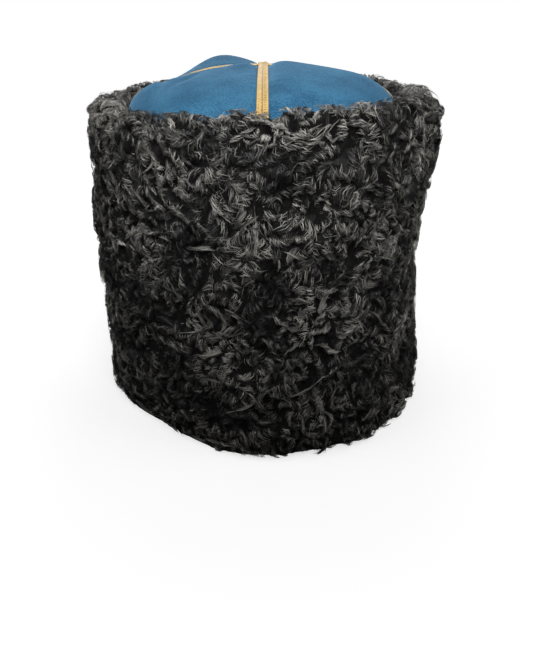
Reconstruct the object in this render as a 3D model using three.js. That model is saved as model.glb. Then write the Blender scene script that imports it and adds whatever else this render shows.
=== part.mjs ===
// A tall karakul hat: an oval wall of curled fur, a domed cloth crown and two crossed galloons.
// Millimetres, +Z up. The origin is under the middle of the hat's outline, on the rim that the hat stands on,
// and the front faces -Y.

import * as THREE from "three";

// The opening for the head, at the lower rim
const HEAD_WIDTH = 172;
const HEAD_LENGTH = 204;

// The fur wall: pelt, padding and curls together
const WALL_THICKNESS = 27;
const HAT_HEIGHT = 190;
const OUTER_EDGE_RADIUS = 6;
const INNER_EDGE_RADIUS = 5;
const TOP_NARROWING = 4.5; // how much less the half width and half length are at the top

// The curled locks, each a short ridge fused to the pelt
const LOCK_HEIGHT = 6;
const LOCK_LENGTH = 25;
const LOCK_WIDTH = 15;
const LOCK_PITCH_ROUND = 21;
const LOCK_PITCH_UP = 16;

// The cloth crown, seated on a ledge inside the rolled rim
const SEAM_DEPTH = 2.5; // below the straight inside of the roll
const CLOTH_THICKNESS = 2;
const CROWN_RISE = 28;

// The galloons
const GALLOON_WIDTH = 6;
const GALLOON_THICKNESS = 0.8;

// The gap between pieces that touch
const GAP = 0.3;

// How the curved faces bend: under 1 gives a fuller dome, and a smaller softness gives sharper lanes
const CROWN_FULLNESS = 0.4;
const PUFF_SOFTNESS = 0.07;

// How finely the surfaces are divided
const WALL_COLUMNS = 112;
const SIDE_ROWS = 23;
const ROLL_ROWS = 7;
const EDGE_ROWS = 3;
const INNER_ROWS = 4;
const QUARTER_COLUMNS = 9;

// The wall's plan at shares of its height: shares of TOP_NARROWING, and sideways shares of the head's width
const WALL_SECTIONS = [
  { up: 0.0, narrowing: 0.0, shift: 0.0 },
  { up: 0.3, narrowing: 0.3, shift: -0.008 },
  { up: 0.6, narrowing: 0.75, shift: -0.008 },
  { up: 0.85, narrowing: 1.0, shift: 0.0 },
  { up: 1.0, narrowing: 1.0, shift: 0.0 },
];

// Where the outer face stands out or in. turn is in degrees from +X towards +Y, and out is a share of the wall.
const SWELLS = [
  { name: "front right hem", turn: -48, up: 0.03, out: 0.3, spread: 34, tall: 0.26 },
  { name: "front left hem", turn: -158, up: 0.0, out: 0.12, spread: 30, tall: 0.2 },
  { name: "right hem", turn: 5, up: 0.0, out: 0.12, spread: 25, tall: 0.16 },
  { name: "left side", turn: 178, up: 0.55, out: 0.13, spread: 40, tall: 0.26 },
  { name: "right side", turn: 2, up: 0.5, out: -0.13, spread: 36, tall: 0.24 },
  { name: "right of the rim", turn: 12, up: 0.86, out: 0.24, spread: 28, tall: 0.14 },
  { name: "back seam", turn: 90, up: 0.5, out: -0.08, spread: 7, tall: 0.6 },
];

// Where the rim's crest stands above or below HAT_HEIGHT, as shares of the rim's thickness
const RIM_WAVES = [
  { name: "left dip", turn: 185, lift: -0.1, spread: 60 },
  { name: "front", turn: -100, lift: 0.02, spread: 30 },
  { name: "right front", turn: -45, lift: 0.12, spread: 30 },
  { name: "right back", turn: 30, lift: 0.08, spread: 45 },
];

// The four puffed quarters of the crown, anticlockwise. puff is a share of CROWN_RISE.
const QUARTERS = [
  { name: "back right", side: 1, end: 1, puff: 0.05 },
  { name: "back left", side: -1, end: 1, puff: 0.08 },
  { name: "front left", side: -1, end: -1, puff: 0.02 },
  { name: "front right", side: 1, end: -1, puff: 0.15 },
];

// Where a quarter stands higher. Places and reach are shares of the crown's half width and half length, and
// height is a share of CROWN_RISE.
const CROWN_SWELLS = [
  { name: "left front swell", x: -0.82, y: -0.28, reach: 0.2, height: 0.36 },
  { name: "right front swell", x: 0.8, y: -0.28, reach: 0.2, height: 0.16 },
  { name: "left back swell", x: -0.4, y: 0.48, reach: 0.25, height: 0.33 },
];

// Soft folds in the crown. Places and sizes are shares of its half width and half length, depth of CROWN_RISE.
const CROWN_FOLDS = [
  { name: "left front fold", x: -0.71, y: -0.36, turn: 88, long: 0.3, wide: 0.06, depth: 0.05 },
  { name: "short left fold", x: -0.52, y: -0.32, turn: 60, long: 0.14, wide: 0.05, depth: 0.03 },
  { name: "left slope", x: -0.75, y: 0.05, turn: 90, long: 0.55, wide: 0.22, depth: 0.2 },
];

// The crown's rings, from the crossing of the galloons at 0 to the seam at 1
const CROWN_RINGS = [0, 0.09, 0.22, 0.36, 0.5, 0.63, 0.75, 0.85, 0.93, 0.98, 1];

const FUR_BLACK = new THREE.MeshStandardMaterial({ color: 0x1c1b1c, roughness: 0.75, metalness: 0 });
const CLOTH_BLUE = new THREE.MeshStandardMaterial({ color: 0x2c6691, roughness: 0.92, metalness: 0 });
const GALLOON_GOLD = new THREE.MeshStandardMaterial({ color: 0xc9a052, roughness: 0.45, metalness: 0.6 });

// What follows from the sizes above
const LEDGE_WIDTH = CLOTH_THICKNESS + GALLOON_THICKNESS + 3 * GAP;
const RIM_THICKNESS = WALL_THICKNESS - LEDGE_WIDTH;
const RIM_RADIUS = RIM_THICKNESS / 2;
const ROLL_HEIGHT = HAT_HEIGHT - RIM_RADIUS;
const SEAM_HEIGHT = ROLL_HEIGHT - SEAM_DEPTH;
const CROWN_INSET = RIM_THICKNESS + GALLOON_THICKNESS + 2 * GAP;
const LANE_HALF = GALLOON_WIDTH / 2 + GAP;

const clamp = THREE.MathUtils.clamp;
const mix = THREE.MathUtils.lerp;
const sum = (values) => values.reduce((total, value) => total + value, 0);

// 1 at the middle of a hump, and almost nothing at twice its spread
const hump = (distance, spread) => Math.exp(-((distance / spread) ** 2));

// The angle in degrees between two directions, the short way round
const turnBetween = (a, b) => 180 - Math.abs(((((a - b) % 360) + 360) % 360) - 180);

// A repeatable share from 0 to 1 for a lock's column and row
function chance(column, row, salt) {
  const wave = Math.sin(column * 127.1 + row * 311.7 + salt * 74.7) * 43758.5453;
  return wave - Math.floor(wave);
}

// The wall's outer half width, half length and sideways shift at a height
function planAt(height) {
  const up = clamp(height / HAT_HEIGHT, 0, 1);
  const next = Math.max(1, WALL_SECTIONS.findIndex((section) => section.up >= up));
  const [low, high] = [WALL_SECTIONS[next - 1], WALL_SECTIONS[next]];
  const share = THREE.MathUtils.smoothstep(up, low.up, high.up);
  const narrowing = TOP_NARROWING * mix(low.narrowing, high.narrowing, share);
  return {
    halfWidth: HEAD_WIDTH / 2 + WALL_THICKNESS - narrowing,
    halfLength: HEAD_LENGTH / 2 + WALL_THICKNESS - narrowing,
    shift: HEAD_WIDTH * mix(low.shift, high.shift, share),
  };
}

function swellAt(degrees, height) {
  const up = height / HAT_HEIGHT;
  const shares = SWELLS.map(
    (swell) =>
      swell.out * hump(turnBetween(degrees, swell.turn), swell.spread) * hump(up - swell.up, swell.tall),
  );
  return WALL_THICKNESS * sum(shares);
}

function rimLiftAt(degrees) {
  const shares = RIM_WAVES.map((wave) => wave.lift * hump(turnBetween(degrees, wave.turn), wave.spread));
  return RIM_THICKNESS * sum(shares);
}

// The wall's section from the inside of the lower rim, out, up, over the roll and down inside. Each row runs
// right round the hat. faceOut and faceUp are the way it looks, and fur is how much of a lock's height it has.
function wallSection() {
  const rows = [{ inset: WALL_THICKNESS - INNER_EDGE_RADIUS, height: 0, faceOut: 0, faceUp: -1, fur: 0 }];
  for (let i = 0; i <= EDGE_ROWS; i++) {
    const angle = (Math.PI / 2) * (i / EDGE_ROWS);
    rows.push({
      inset: OUTER_EDGE_RADIUS * (1 - Math.sin(angle)),
      height: OUTER_EDGE_RADIUS * (1 - Math.cos(angle)),
      faceOut: Math.sin(angle),
      faceUp: -Math.cos(angle),
      fur: i / EDGE_ROWS,
    });
  }
  for (let i = 1; i < SIDE_ROWS; i++) {
    const height = mix(OUTER_EDGE_RADIUS, ROLL_HEIGHT, i / SIDE_ROWS);
    rows.push({ inset: 0, height, faceOut: 1, faceUp: 0, fur: 1 });
  }
  for (let i = 0; i <= ROLL_ROWS; i++) {
    const angle = Math.PI * (i / ROLL_ROWS);
    rows.push({
      inset: RIM_RADIUS * (1 - Math.cos(angle)),
      height: ROLL_HEIGHT + RIM_RADIUS * Math.sin(angle),
      faceOut: Math.cos(angle),
      faceUp: Math.sin(angle),
      fur: clamp((ROLL_ROWS - i) / 2, 0, 1),
    });
  }
  rows.push({ inset: RIM_THICKNESS, height: SEAM_HEIGHT, faceOut: -1, faceUp: 0, fur: 0 });
  for (let i = 0; i <= INNER_ROWS; i++) {
    const height = mix(SEAM_HEIGHT, INNER_EDGE_RADIUS, i / INNER_ROWS);
    rows.push({ inset: WALL_THICKNESS, height, faceOut: -1, faceUp: 0, fur: 0 });
  }
  return rows;
}

// Every lock, placed round the girth and along the section, with the way that its ridge runs
function curledLocks(girth, sectionLength) {
  const locks = [];
  const columns = Math.round(girth / LOCK_PITCH_ROUND);
  const rows = Math.round(sectionLength / LOCK_PITCH_UP);
  for (let i = 0; i < columns; i++) {
    for (let j = 0; j <= rows; j++) {
      const lean = (chance(i, j, 1) - 0.5) * Math.PI * 0.8;
      locks.push({
        round: (girth * (i + (j % 2) / 2 + (chance(i, j, 2) - 0.5) * 0.6)) / columns,
        along: (sectionLength * (j + (chance(i, j, 3) - 0.5) * 0.6)) / rows,
        ridge: [Math.cos(lean), Math.sin(lean)],
        height: mix(0.65, 1, chance(i, j, 4)),
      });
    }
  }
  return locks;
}

// How high the fur stands at a place, as a share of LOCK_HEIGHT: the highest lock there counts
function lockRise(locks, girth, round, along) {
  let rise = 0;
  for (const lock of locks) {
    const across = ((round - lock.round + 1.5 * girth) % girth) - girth / 2;
    const up = along - lock.along;
    const lengthwise = (across * lock.ridge[0] + up * lock.ridge[1]) / (LOCK_LENGTH / 2);
    const sideways = (up * lock.ridge[0] - across * lock.ridge[1]) / (LOCK_WIDTH / 2);
    const fall = lengthwise ** 2 + sideways ** 2;
    if (fall < 1) rise = Math.max(rise, lock.height * Math.sqrt(1 - fall));
  }
  return rise;
}

// Triangles between two neighbouring rings of the same length, facing out where the second is above the first.
// Staggered rings have their zigzag the other way round.
function ringTriangles(first, second, staggered) {
  return first.flatMap((a, i) => {
    const next = (i + 1) % first.length;
    const [b, c, d] = [first[next], second[next], second[i]];
    return staggered ? [a, b, c, a, c, d] : [a, b, d, b, c, d];
  });
}

function solidFrom(points, index) {
  const geometry = new THREE.BufferGeometry().setFromPoints(points);
  geometry.setIndex(index);
  geometry.computeVertexNormals();
  return geometry;
}

function karakulWall() {
  const section = wallSection();
  const base = planAt(0);
  const girth = Math.PI * (base.halfWidth + base.halfLength);
  const places = [0];
  for (let j = 1; j < section.length; j++) {
    const [row, last] = [section[j], section[j - 1]];
    places.push(places[j - 1] + Math.hypot(row.inset - last.inset, row.height - last.height));
  }
  const locks = curledLocks(girth, places[places.length - 1]);

  const points = section.flatMap((row, j) =>
    Array.from({ length: WALL_COLUMNS }, (_, i) => {
      const round = (i + (j % 2) / 2) / WALL_COLUMNS;
      const relief = LOCK_HEIGHT * row.fur * (lockRise(locks, girth, girth * round, places[j]) - 1);
      const swell = Math.max(row.faceOut, 0) * swellAt(360 * round, row.height);
      const lifted = clamp((row.height - SEAM_HEIGHT) / (HAT_HEIGHT - SEAM_HEIGHT), 0, 1);
      const plan = planAt(row.height);
      const inset = row.inset - row.faceOut * relief - swell;
      return new THREE.Vector3(
        plan.shift + (plan.halfWidth - inset) * Math.cos(2 * Math.PI * round),
        (plan.halfLength - inset) * Math.sin(2 * Math.PI * round),
        row.height + row.faceUp * relief + lifted * rimLiftAt(360 * round),
      );
    }),
  );
  const rings = section.map((_, j) => Array.from({ length: WALL_COLUMNS }, (_, i) => j * WALL_COLUMNS + i));
  const index = rings.flatMap((ring, j) => ringTriangles(ring, rings[(j + 1) % rings.length], j % 2 === 1));
  return solidFrom(points, index);
}

// The crown's height as a share of its rise, at shares of its half width and half length
function crownShare(x, y, puff, laneX, laneY) {
  const level = Math.max(1 - x ** 2 - y ** 2, 0);
  const offLane = (share) => 1 - Math.exp(-Math.max(share, 0) / PUFF_SOFTNESS);
  const swells = CROWN_SWELLS.map(
    (swell) => swell.height * hump(x - swell.x, swell.reach) * hump(y - swell.y, swell.reach),
  );
  const puffed = (puff + sum(swells)) * offLane(Math.abs(x) - laneX) * offLane(Math.abs(y) - laneY);
  const folds = CROWN_FOLDS.map((fold) => {
    const turn = THREE.MathUtils.degToRad(fold.turn);
    const [dx, dy] = [x - fold.x, y - fold.y];
    const lengthwise = dx * Math.cos(turn) + dy * Math.sin(turn);
    const sideways = dy * Math.cos(turn) - dx * Math.sin(turn);
    return fold.depth * hump(lengthwise, fold.long) * hump(sideways, fold.wide);
  });
  return level ** CROWN_FULLNESS + (puffed - sum(folds)) * level;
}

// A point on a quarter of the crown. ring is 0 to 1, swing goes from 0 at the cross lane to a right angle at
// the long one, and depth is how far the point lies inside the cloth's outer face.
function crownPoint(quarter, ring, swing, depth) {
  const plan = planAt(SEAM_HEIGHT);
  const halfWidth = plan.halfWidth - CROWN_INSET - depth;
  const halfLength = plan.halfLength - CROWN_INSET - depth;
  const reachX = (halfWidth - LANE_HALF) * Math.cos(swing);
  const reachY = (halfLength - LANE_HALF) * Math.sin(swing);
  const overrun = Math.hypot((LANE_HALF + reachX) / halfWidth, (LANE_HALF + reachY) / halfLength);
  const pull = mix(1, 1 / overrun, ring ** 2);
  const x = quarter.side * pull * (LANE_HALF + ring * reachX);
  const y = quarter.end * pull * (LANE_HALF + ring * reachY);
  const [laneX, laneY] = [LANE_HALF / halfWidth, LANE_HALF / halfLength];
  const rise = (CROWN_RISE - depth) * crownShare(x / halfWidth, y / halfLength, quarter.puff, laneX, laneY);
  return new THREE.Vector3(plan.shift + x, y, SEAM_HEIGHT + GAP + rise);
}

// A ring through the four quarters, each swung so that its points run anticlockwise
function crownRing(ring, depth) {
  return QUARTERS.flatMap((quarter) =>
    Array.from({ length: QUARTER_COLUMNS + 1 }, (_, i) => {
      const share = i / QUARTER_COLUMNS;
      const swing = (Math.PI / 2) * (quarter.side === quarter.end ? share : 1 - share);
      return crownPoint(quarter, ring, swing, depth);
    }),
  );
}

// One face of the cloth: its rings, down to the small square where the lanes cross
function crownFace(depth) {
  const columns = QUARTER_COLUMNS + 1;
  const count = 4 * columns;
  const corners = QUARTERS.map((quarter) => crownPoint(quarter, 0, 0, depth));
  const points = [...corners, ...CROWN_RINGS.slice(1).flatMap((ring) => crownRing(ring, depth))];
  const rings = CROWN_RINGS.map((_, j) =>
    Array.from({ length: count }, (_, i) => (j === 0 ? Math.floor(i / columns) : 4 + (j - 1) * count + i)),
  );
  const index = [0, 1, 2, 0, 2, 3];
  for (let j = 1; j < rings.length; j++) {
    const triangles = ringTriangles(rings[j], rings[j - 1], false);
    for (let t = 0; t < triangles.length; t += 3) {
      const corner = triangles.slice(t, t + 3);
      if (new Set(corner).size === 3) index.push(...corner);
    }
  }
  return { points, index, edge: rings[rings.length - 1] };
}

function crownCloth() {
  const outer = crownFace(0);
  const inner = crownFace(CLOTH_THICKNESS);
  const start = outer.points.length;
  const innerEdge = inner.edge.map((i) => i + start);
  const index = [...outer.index, ...ringTriangles(innerEdge, outer.edge, false)];
  for (let t = 0; t < inner.index.length; t += 3) {
    const [a, b, c] = inner.index.slice(t, t + 3);
    index.push(a + start, c + start, b + start);
  }
  return solidFrom([...outer.points, ...inner.points], index);
}

// The middle line of a lane from seam to seam, as places along it and heights
function laneLine(crossways) {
  const swing = crossways ? 0 : Math.PI / 2;
  const [start, end] = crossways ? [QUARTERS[1], QUARTERS[0]] : [QUARTERS[3], QUARTERS[0]];
  const place = (quarter, ring) => {
    const point = crownPoint(quarter, ring, swing, 0);
    return new THREE.Vector2(crossways ? point.x : point.y, point.z);
  };
  const climb = [...CROWN_RINGS].reverse().map((ring) => place(start, ring));
  const descent = CROWN_RINGS.map((ring) => place(end, ring));
  return [...climb, ...descent];
}

// Moves a line outwards by a distance at every corner, keeping that distance between the corners too
function standOff(line, distances) {
  return line.map((point, i) => {
    const before = point.clone().sub(line[Math.max(i - 1, 0)]).normalize();
    const after = line[Math.min(i + 1, line.length - 1)].clone().sub(point).normalize();
    const along = before.clone().add(after).normalize();
    const bend = Math.max(before.dot(along), after.dot(along));
    const out = new THREE.Vector2(-along.y, along.x);
    return point.clone().addScaledVector(out, distances[i] / bend);
  });
}

// A woven band laid along a lane. lift raises it where it crosses the other band.
function galloon(crossways, lift) {
  const lane = laneLine(crossways);
  const crossing = [CROWN_RINGS.length - 1, CROWN_RINGS.length];
  const clear = lane.map((_, i) => GAP + (crossing.includes(i) ? lift : 0));
  const under = standOff(lane, clear);
  const over = standOff(lane, clear.map((distance) => distance + GALLOON_THICKNESS));
  const half = GALLOON_WIDTH / 2;
  const place = (flat, side) =>
    crossways ? new THREE.Vector3(flat.x, side, flat.y) : new THREE.Vector3(-side, flat.x, flat.y);
  const points = lane.flatMap((_, i) => [
    place(under[i], -half),
    place(under[i], half),
    place(over[i], half),
    place(over[i], -half),
  ]);
  const rings = lane.map((_, i) => [4 * i, 4 * i + 1, 4 * i + 2, 4 * i + 3]);
  const index = rings.slice(1).flatMap((ring, i) => ringTriangles(rings[i], ring, false));
  const [first, last] = [rings[0], rings[rings.length - 1]];
  index.push(first[0], first[2], first[1], first[0], first[3], first[2]);
  index.push(last[0], last[1], last[2], last[0], last[2], last[3]);
  return solidFrom(points, index);
}

const hat = new THREE.Group();

function addPiece(name, geometry, material) {
  const piece = new THREE.Mesh(geometry, material);
  piece.name = name;
  hat.add(piece);
}

addPiece("karakul_wall", karakulWall(), FUR_BLACK);
addPiece("crown_cloth", crownCloth(), CLOTH_BLUE);
addPiece("galloon_side_to_side", galloon(true, 0), GALLOON_GOLD);
addPiece("galloon_front_to_back", galloon(false, GALLOON_THICKNESS + GAP), GALLOON_GOLD);

// The swells leave the outline uneven, so the hat is centred once it is whole
const middle = new THREE.Box3().setFromObject(hat).getCenter(new THREE.Vector3());
hat.position.set(-middle.x, -middle.y, 0);

export default hat;
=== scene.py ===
"""A tall karakul hat: an oval wall of curled black fur, a blue cloth crown and two crossed gold galloons.

Metres, +Z up, with the front of the hat facing -Y.
"""

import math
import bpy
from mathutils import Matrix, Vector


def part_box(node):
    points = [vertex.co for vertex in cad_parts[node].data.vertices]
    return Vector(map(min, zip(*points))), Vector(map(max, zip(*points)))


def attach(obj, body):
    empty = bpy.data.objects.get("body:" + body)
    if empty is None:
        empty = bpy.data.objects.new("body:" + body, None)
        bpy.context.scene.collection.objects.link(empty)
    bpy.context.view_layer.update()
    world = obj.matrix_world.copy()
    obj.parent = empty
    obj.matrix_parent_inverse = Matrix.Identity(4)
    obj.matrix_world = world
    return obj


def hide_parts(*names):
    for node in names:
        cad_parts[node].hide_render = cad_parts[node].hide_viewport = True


bl_info = {
    "name": "Karakul Hat",
    "version": (1, 0, 0),
    "blender": (4, 5, 0),
    "location": "View3D > Sidebar > Karakul Hat",
    "description": "Makes a tall karakul hat with a cloth crown and two crossed galloons",
    "category": "Add Mesh",
}

import bpy
import numpy as np
from bpy.props import FloatProperty, FloatVectorProperty, IntProperty, PointerProperty
from mathutils import Vector

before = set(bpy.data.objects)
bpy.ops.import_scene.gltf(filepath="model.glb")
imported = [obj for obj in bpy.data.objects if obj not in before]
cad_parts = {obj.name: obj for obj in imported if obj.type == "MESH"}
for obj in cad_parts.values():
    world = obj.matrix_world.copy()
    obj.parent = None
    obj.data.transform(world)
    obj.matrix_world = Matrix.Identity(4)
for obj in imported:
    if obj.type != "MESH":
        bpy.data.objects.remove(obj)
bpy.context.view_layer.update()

TURN = 2 * math.pi
GIRTH_STEPS = 720
NEARLY_NOTHING = 1e-12
NOISE_MIX = (0.7, 1.4)
BAKE_MAP = "OFBake"

# The wall's plan at shares of its height: shares of the narrowing, and sideways shares of the head's width
WALL_SECTIONS = [
    {"up": 0.0, "narrowing": 0.0, "shift": 0.0},
    {"up": 0.3, "narrowing": 0.3, "shift": -0.008},
    {"up": 0.6, "narrowing": 0.75, "shift": -0.008},
    {"up": 0.85, "narrowing": 1.0, "shift": 0.0},
    {"up": 1.0, "narrowing": 1.0, "shift": 0.0},
]

# Where the fur stands out or in. turn is in degrees from +X towards +Y, and out is a share of the wall.
SWELLS = [
    {"name": "front right hem", "turn": -48, "up": 0.03, "out": 0.3, "spread": 34, "tall": 0.26},
    {"name": "front left hem", "turn": -158, "up": 0.0, "out": 0.12, "spread": 30, "tall": 0.2},
    {"name": "drawn-in hem", "turn": -126, "up": 0.0, "out": -0.2, "spread": 16, "tall": 0.09},
    {"name": "right hem", "turn": 5, "up": 0.0, "out": 0.12, "spread": 25, "tall": 0.16},
    {"name": "left side", "turn": 178, "up": 0.55, "out": 0.13, "spread": 40, "tall": 0.26},
    {"name": "right side", "turn": 2, "up": 0.5, "out": -0.13, "spread": 36, "tall": 0.24},
    {"name": "right of the rim", "turn": 12, "up": 0.86, "out": 0.24, "spread": 28, "tall": 0.14},
    {"name": "back seam", "turn": 90, "up": 0.5, "out": -0.08, "spread": 7, "tall": 0.6},
]

# Where the rim's crest stands above or below the hat's height, as shares of the rim's thickness
RIM_WAVES = [
    {"name": "left dip", "turn": 185, "lift": -0.1, "spread": 60},
    {"name": "front", "turn": -100, "lift": 0.02, "spread": 30},
    {"name": "right front", "turn": -45, "lift": 0.12, "spread": 30},
    {"name": "right back", "turn": 30, "lift": 0.08, "spread": 45},
]

# Where the fur along the rim's crest stands higher or lower. turn and spread are in degrees, and puff is a
# share of the rim's puff.
RIM_LOBES = [
    {"name": "notch beside the galloon", "turn": -86.5, "puff": -1.2, "spread": 3},
    {"name": "left of the notch", "turn": -93, "puff": 0.3, "spread": 4},
    {"name": "right of the notch", "turn": -79, "puff": 0.2, "spread": 5},
]

# Painted highlights and painted shade on the hair: lighter patches where the lights catch the fur's bulges,
# and darker ones where shade falls. turn and spread are in degrees, up and tall are shares of the height.
HIGHLIGHT_AND_SHADE_PATCHES = [
    {"name": "left highlight", "turn": -104, "up": 0.42, "spread": 9, "tall": 0.13, "tone": 0.14},
    {"name": "right highlight", "turn": -71, "up": 0.44, "spread": 11, "tall": 0.15, "tone": 0.16},
    {"name": "middle highlight", "turn": -86, "up": 0.68, "spread": 14, "tall": 0.12, "tone": 0.05},
    {"name": "shaded left", "turn": -125, "up": 0.35, "spread": 17, "tall": 0.26, "tone": -0.12},
    {"name": "shaded right", "turn": -48, "up": 0.35, "spread": 17, "tall": 0.26, "tone": -0.1},
    {"name": "shaded centre", "turn": -87, "up": 0.47, "spread": 7, "tall": 0.14, "tone": -0.08},
    {"name": "shaded girdle", "turn": -90, "up": 0.52, "spread": 70, "tall": 0.16, "tone": -0.07},
]

# The faces that the curls are gathered into. turn is the middle of each, in degrees from +X towards +Y.
CURL_FACES = [
    {"name": "curls_right", "turn": 0},
    {"name": "curls_back", "turn": 90},
    {"name": "curls_left", "turn": 180},
    {"name": "curls_front", "turn": 270},
]

# The four puffed quarters of the crown, anticlockwise. puff is a share of the crown's rise.
QUARTERS = [
    {"name": "back right", "side": 1, "end": 1, "puff": 0.05},
    {"name": "back left", "side": -1, "end": 1, "puff": 0.08},
    {"name": "front left", "side": -1, "end": -1, "puff": 0.03},
    {"name": "front right", "side": 1, "end": -1, "puff": 0.15},
]

# Where a quarter stands higher. Places and reach are shares of the crown's half width and half length, and
# height is a share of its rise.
CROWN_SWELLS = [
    {"name": "left front swell", "x": -0.82, "y": -0.28, "reach": 0.2, "height": 0.36},
    {"name": "right front swell", "x": 0.8, "y": -0.28, "reach": 0.2, "height": 0.16},
    {"name": "left back swell", "x": -0.4, "y": 0.48, "reach": 0.25, "height": 0.33},
    {"name": "right of the crossing", "x": 0.13, "y": -0.12, "reach": 0.12, "height": 0.03},
    {"name": "left of the crossing", "x": -0.12, "y": -0.1, "reach": 0.12, "height": 0.1},
]

# Soft folds in the crown. Places and sizes are shares of its half width and half length, depth of its rise.
CROWN_FOLDS = [
    {"name": "left front", "x": -0.71, "y": -0.36, "turn": 88, "long": 0.3, "wide": 0.04, "depth": 0.13},
    {"name": "short left", "x": -0.52, "y": -0.32, "turn": 60, "long": 0.14, "wide": 0.04, "depth": 0.07},
    {"name": "left slope", "x": -0.75, "y": 0.05, "turn": 90, "long": 0.55, "wide": 0.22, "depth": 0.2},
]

# How the crown bends: under 1 gives a fuller dome, and a smaller softness gives sharper lanes
CROWN_FULLNESS = 0.4
PUFF_SOFTNESS = 0.05

# The crown's surface. The puckers lie beside the lanes, where the galloons' stitches draw the cloth in.
CROWN_UNEVENNESS = 0.00035
CROWN_PATCH = 0.045
CROWN_SEED = 5
PUCKER_DEPTH = 0.00012
PUCKER_PITCH = 0.0085
PUCKER_PLACE = 0.002
PUCKER_WIDTH = 0.004
PUCKER_WANDER = 90

# How far apart the patches of like curls lie
CURL_PATCH = {"lean": 0.045, "size": 0.04, "lumps": 0.03, "tone": 0.04, "lobes": 0.022}

# How much the curls differ from one to the next: lengths in metres, angles in radians, the rest as shares
CURL_SPREAD = {
    "lean": 0.55,
    "size": 0.22,
    "length": 0.25,
    "bend": 0.35,
    "drift": 0.0016,
    "sweep": 0.0016,
    "bow": 0.002,
    "tilt": 0.28,
    "stand": 0.0006,
    "tone": 0.09,
}
CURL_SHAKE = 0.38
CURL_SIZES = (0.5, 1.7)
CURL_LENGTHS = (0.5, 1.9)
CURL_SIZE_WAVE = 0.15
CURL_CONVERGE = 0.2
CURL_TILT_LIMIT = 0.6
CURL_SAME_WAY = 0.8
CURL_TONE = 0.45
CURL_TONE_WAVE = 0.12

# The fur's own outline: its highest lumps, the width of the puffed crest and how even its lobes are
LUMP_LIMIT = 0.0008
CREST_WIDTH = 0.0105
LOBE_WAVE = 0.4
LOBE_LIMITS = (0.2, 1.6)
CEILING_CLEARANCE = 0.0005
PRESSED_BACK = 0.75

# How much the hairs of a curl differ: lengths in metres, angles in degrees, the rest as shares
HAIR_SPREAD = {
    "reach": 0.14,
    "start": 26,
    "end": 34,
    "wave": 0.0004,
    "sweep": 0.0006,
    "bow": 0.0005,
    "drift": 0.0005,
    "tone": 0.15,
    "width": 0.25,
    "twist": 0.4,
}

# Where a hair lies on its roll. Angles are in degrees round the roll, and reach is a share of its radius.
HAIR_ALONG = 1.15
HAIR_REACH = 0.93
HAIR_REACHES = (0.5, 1.5)
HAIR_START = 8
HAIR_END = 150
HAIR_ENDS = (80, 220)
HAIR_WAVES = 6
FLYAWAY_SHARE = 0.012
FLYAWAY_REACH = (1.1, 1.35)
ROLL_TAPER = 0.55
ROLL_CLOSING = 0.2
ROLL_MIDDLE = -0.3
HAIR_CLEARANCE = 0.0006
HAIR_STEPS = 4

# The strands of like tone in a curl
STRAND_TONE = 0.22
STRANDS = 9
STRAND_MIX = 60
HAIR_TONES = (0.02, 0.97)

# A hair's width at shares of its length, and the limits of its usual width
HAIR_PROFILE = {"along": (0, 0.3, 0.7, 1), "width": (0.8, 1.0, 0.9, 0.15)}
HAIR_WIDTHS = (0.5, 1.8)

# How far a hair's shading turns away at its edges, in radians, and its width and length on the map
HAIR_ROUNDNESS = 0.9
HAIR_STRIPE = 0.004
HAIR_MAP = (0.02, 0.98)

# Curls from this far below the roll upwards belong to the rim
RIM_MARGIN = 0.006

# The pelt under the curls: how finely it is divided, how deep it lies and how its edges are drawn in
PELT_COLUMNS = 340
PELT_ROWS = 96
INNER_ROWS = 8
PELT_FLOOR = -0.005
PELT_EDGE = 0.009
PELT_EDGE_SHARE = 0.15
PELT_DEPTH = 0.0006
INNER_EDGE = 0.005

# A roll of the pelt: how far out it is worked out and how far it runs straight, as shares of half the
# curl's length
ROLL_REACH = 1.6
ROLL_STRAIGHT = 0.55

# Its height and how far it is sunk, more so at the rim's crest, as shares of the curl's radius
ROLL_HEIGHT = 1.05
ROLL_SUNK = 0.38
CREST_SUNK = 0.3

# The spread of the rolls sunk deeper at the crest, and how fast the pelt falls beside a roll
CREST_SUNK_WIDTH = 0.012
ROLL_SHOULDER = 0.0002

# The streaks on a roll: how they are stretched along its hairs, and how the curls' patterns differ
STREAK_LENGTH = 0.12
STREAK_OFFSET = 0.004
STREAK_KINDS = 97

# How finely the crown and the galloons are divided
QUARTER_COLUMNS = 60
OUTER_RINGS = 80
INNER_RINGS = 24
LANE_RINGS = 120
GALLOON_STEPS = 520
GALLOON_COLUMNS = 19

# Where the two faces of the crown lie on the map, and the ends of a galloon
MAP_EDGE = 0.02
MAP_SPAN = 0.46
MAP_STEP = 0.49
END_MAP_EDGE = 0.01
END_MAP_PLACE = 0.004
END_MAP_SIZE = 0.002

# The ribbed bands of the galloon's weave: the pitch of their ribs, and their mean height and its swing as
# shares of the relief
WEAVE_BANDS = {
    "selvedge": {"pitch": 0.0009, "height": 0.82, "swing": 0.18},
    "ladder": {"pitch": 0.0017, "height": 0.55, "swing": 0.8},
    "cord": {"pitch": 0.0008, "height": 0.75, "swing": 0.25},
}

# The galloon's weave. Pitches run along it, and places are shares of its half width from its middle.
WEAVE_RELIEF = 0.00028
LADDER_LOWEST = 0.05
ZIGZAG_PITCH = 0.0027
ZIGZAG_GROUND = 0.35
SELVEDGE_FROM = 0.74
LADDER_TO = -0.16
GROOVE_HALF = 0.06
ZIGZAG_FROM = 0.08
ZIGZAG_REACH = (0.20, 0.62)
ZIGZAG_WIDTH = 0.13
STITCH_PLACE = 0.72
STITCH_HALF = 0.03
STITCH_HEIGHT = 0.25

# How wide a galloon rises over the other one, and how thick its edges are, as shares of its own sizes
CROSSING_WIDTH = 0.75
EDGE_THICKNESS = 0.45

# Under 1, the points along a lane lie closer together towards the seam
LANE_CROWDING = 0.8

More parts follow.
